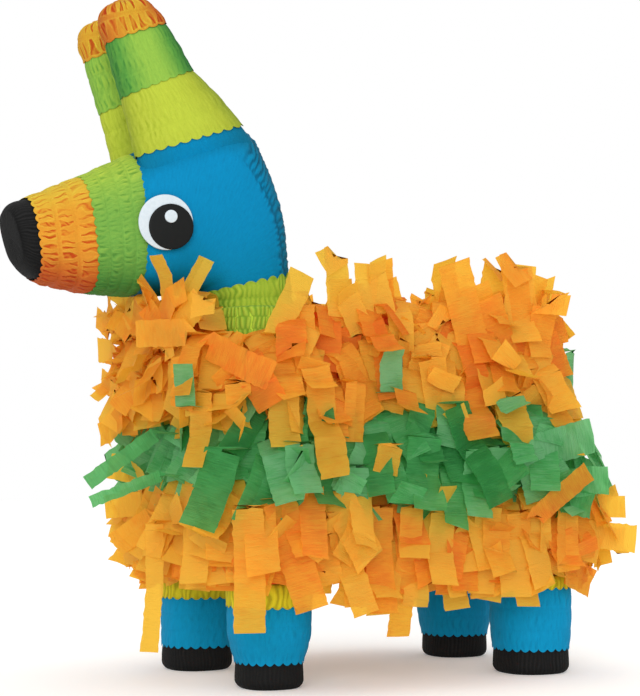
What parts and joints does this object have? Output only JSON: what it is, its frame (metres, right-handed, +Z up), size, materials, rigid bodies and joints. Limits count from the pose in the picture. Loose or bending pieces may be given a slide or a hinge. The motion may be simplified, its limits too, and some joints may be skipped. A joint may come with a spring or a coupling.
{
  "type": "pinata",
  "caption": "Donkey pinata: card body on four legs, banded head and ears, rows of paper fringe, a fill flap in the belly and a hanging ring on the back.",
  "frame": {"origin": "on the floor under the middle of the whole object, level with the soles of the four hooves", "axes": "+Z is up; +X runs from the nose to the tail; +Y points to the animal's right side, so its left side is at -Y"},
  "size_m": [0.381, 0.216, 0.4096],
  "materials": {
    "kraft_card": "matt brown card",
    "papier_mache": "matt pasted paper",
    "black_crepe": "matt crepe paper, pinked edge",
    "orange_crepe": "matt crepe paper in ruffled rows",
    "green_crepe": "matt crepe paper in ruffled rows",
    "blue_crepe": "matt crepe paper, pinked edge",
    "lime_crepe": "matt crepe paper, pinked edge",
    "yellow_crepe": "matt crepe paper",
    "orange_fringe": "loose strips of thin, see-through tissue and crepe paper",
    "green_fringe": "loose strips of thin, see-through tissue and crepe paper",
    "eye_white": "smooth printed card",
    "eye_black": "smooth printed card",
    "steel_wire": "drawn wire, satin",
    "strap_tape": "woven cotton tape"
  },
  "bodies": {
    "pinata_body": {"side_wall_left": "kraft_card", "side_wall_right": "kraft_card", "back_board": "kraft_card", "back_cover": "lime_crepe", "side_cover": "lime_crepe", "belly_board": "kraft_card", "hanger_strap": "strap_tape", "hanger_disc": "kraft_card", "head_shell_left": "papier_mache", "head_shell_right": "papier_mache", "nose_cap": "black_crepe", "muzzle_wrap_orange": "orange_crepe", "muzzle_wrap_green": "green_crepe", "head_wrap_blue": "blue_crepe", "neck_wrap_lime": "lime_crepe", "ear_core_left": "kraft_card", "ear_wrap_blue_left": "blue_crepe", "ear_wrap_lime_left": "lime_crepe", "ear_wrap_green_left": "green_crepe", "ear_wrap_orange_left": "orange_crepe", "eye_white_left": "eye_white", "eye_pupil_left": "eye_black", "eye_glint_left": "eye_white", "ear_core_right": "kraft_card", "ear_wrap_blue_right": "blue_crepe", "ear_wrap_lime_right": "lime_crepe", "ear_wrap_green_right": "green_crepe", "ear_wrap_orange_right": "orange_crepe", "eye_white_right": "eye_white", "eye_pupil_right": "eye_black", "eye_glint_right": "eye_white", "leg_tube_front_left": "kraft_card", "hoof_front_left": "black_crepe", "leg_wrap_blue_front_left": "blue_crepe", "leg_wrap_yellow_front_left": "yellow_crepe", "leg_tube_front_right": "kraft_card", "hoof_front_right": "black_crepe", "leg_wrap_blue_front_right": "blue_crepe", "leg_wrap_yellow_front_right": "yellow_crepe", "leg_tube_rear_left": "kraft_card", "hoof_rear_left": "black_crepe", "leg_wrap_blue_rear_left": "blue_crepe", "leg_wrap_yellow_rear_left": "yellow_crepe", "leg_tube_rear_right": "kraft_card", "hoof_rear_right": "black_crepe", "leg_wrap_blue_rear_right": "blue_crepe", "leg_wrap_yellow_rear_right": "yellow_crepe", "fringe_orange_upper_1": "orange_fringe", "fringe_orange_upper_2": "orange_fringe", "fringe_green_1": "green_fringe", "fringe_green_2": "green_fringe", "fringe_orange_lower_1": "orange_fringe", "fringe_orange_lower_2": "orange_fringe", "fringe_orange_lower_3": "orange_fringe", "fringe_back_rim": "orange_fringe", "fringe_back_inner": "orange_fringe"},
    "fill_flap": {"fill_door": "kraft_card", "door_pull_tab": "orange_crepe"},
    "ring": {"hanging_ring": "steel_wire"}
  },
  "joints": [
    {"name": "fill_flap_hinge", "type": "hinge", "parent": "pinata_body", "child": "fill_flap", "pos_m": [0.026, 0, 0.062], "axis": [0, 1, 0], "range_deg": [0, 95]},
    {"name": "hanging_ring_hinge", "type": "hinge", "parent": "pinata_body", "child": "ring", "pos_m": [0.05, 0, 0.22445], "axis": [0, -1, 0], "range_deg": [0, 175]}
  ]
}
